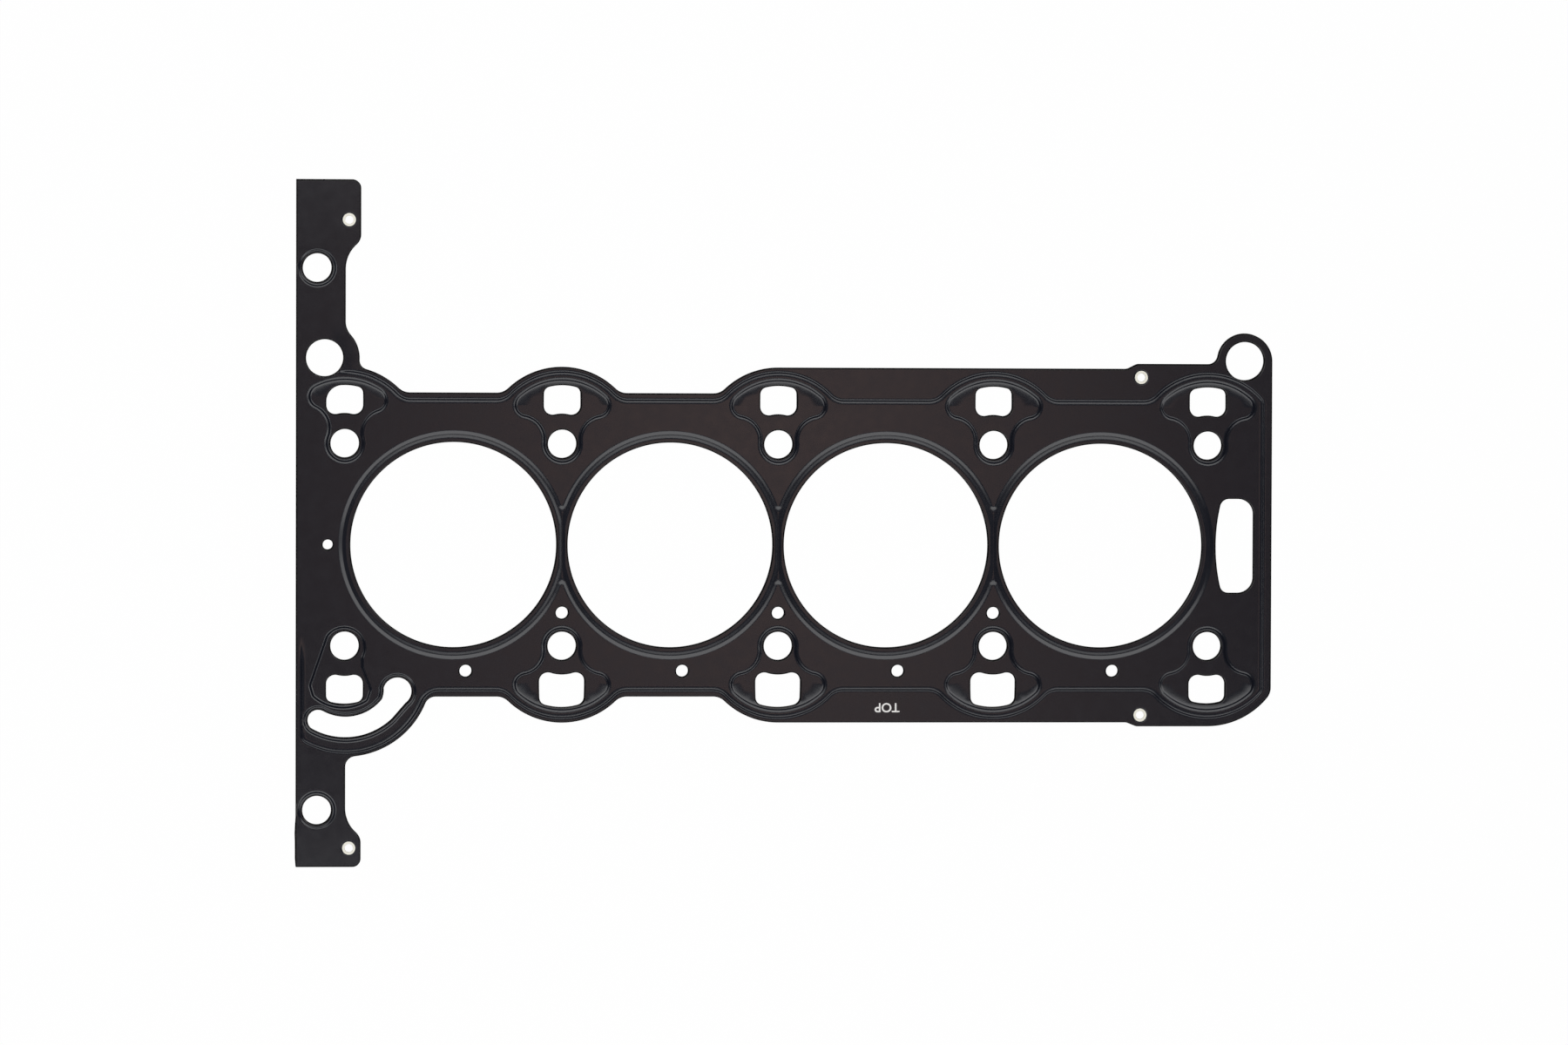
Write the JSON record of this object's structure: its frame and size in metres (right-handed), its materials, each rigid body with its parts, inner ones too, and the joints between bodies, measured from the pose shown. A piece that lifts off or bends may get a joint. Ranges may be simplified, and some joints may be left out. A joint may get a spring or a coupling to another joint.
{
  "type": "cylinder head gasket",
  "caption": "Flat multi-layer steel cylinder head gasket with a row of bores, bolt holes, coolant ports, pressed sealing beads and end bars for the timing case.",
  "frame": {"origin": "on the axis of the first cylinder bore, the one beside the end bars, at half the thickness of the stack", "axes": "+X along the row of bores away from the end bars, +Y across the row towards the ear and the ring lobe, +Z out of the upper face"},
  "size_m": [0.3528, 0.2471, 0.0014],
  "materials": {
    "coated_sheet": "satin",
    "carrier_sheet": "satin",
    "eyelet_steel": "polished"
  },
  "bodies": {
    "root": {"upper_layer": "coated_sheet", "middle_layer": "carrier_sheet", "lower_layer": "coated_sheet", "eyelets": "eyelet_steel"}
  },
  "joints": []
}
